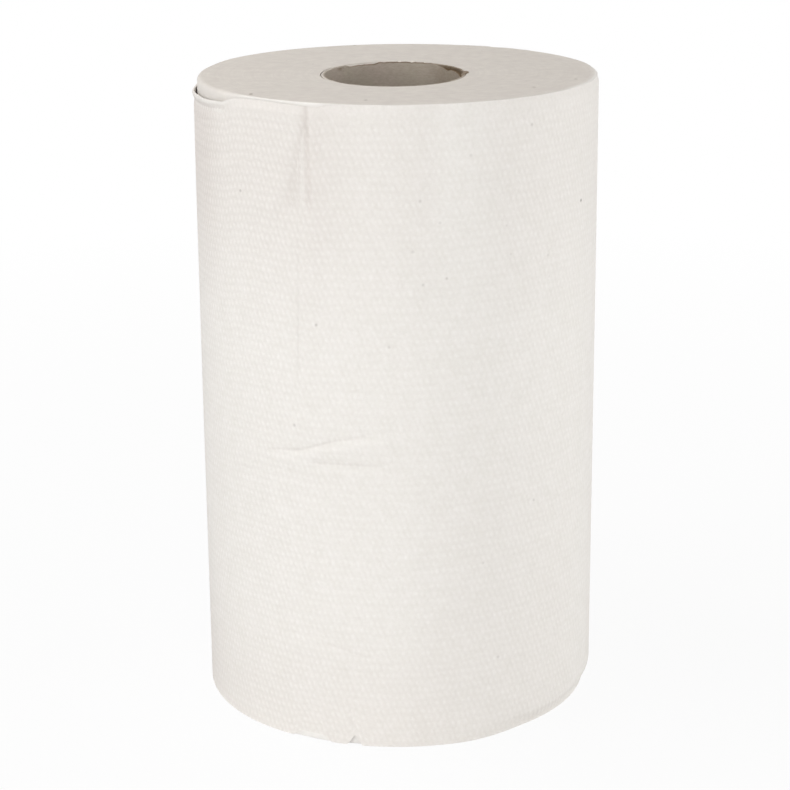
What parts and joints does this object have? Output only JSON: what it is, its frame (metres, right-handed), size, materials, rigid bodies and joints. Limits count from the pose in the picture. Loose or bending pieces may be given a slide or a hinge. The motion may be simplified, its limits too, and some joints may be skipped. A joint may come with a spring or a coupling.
{
  "type": "paper towel roll",
  "caption": "Hard-wound roll of embossed white paper towel on a paperboard core, standing on its end, its loose outer wrap slipped down on one side.",
  "frame": {"origin": "centre of the roll's lower end, on the surface it stands on", "axes": "+Z along the roll's axis, from the standing end up; -Y towards the viewer of the picture"},
  "size_m": [0.1279, 0.1277, 0.203],
  "materials": {
    "towel_paper": "matte embossed",
    "core_board": "matte"
  },
  "bodies": {
    "root": {"towel_roll": "towel_paper", "core_tube": "core_board"}
  },
  "joints": []
}
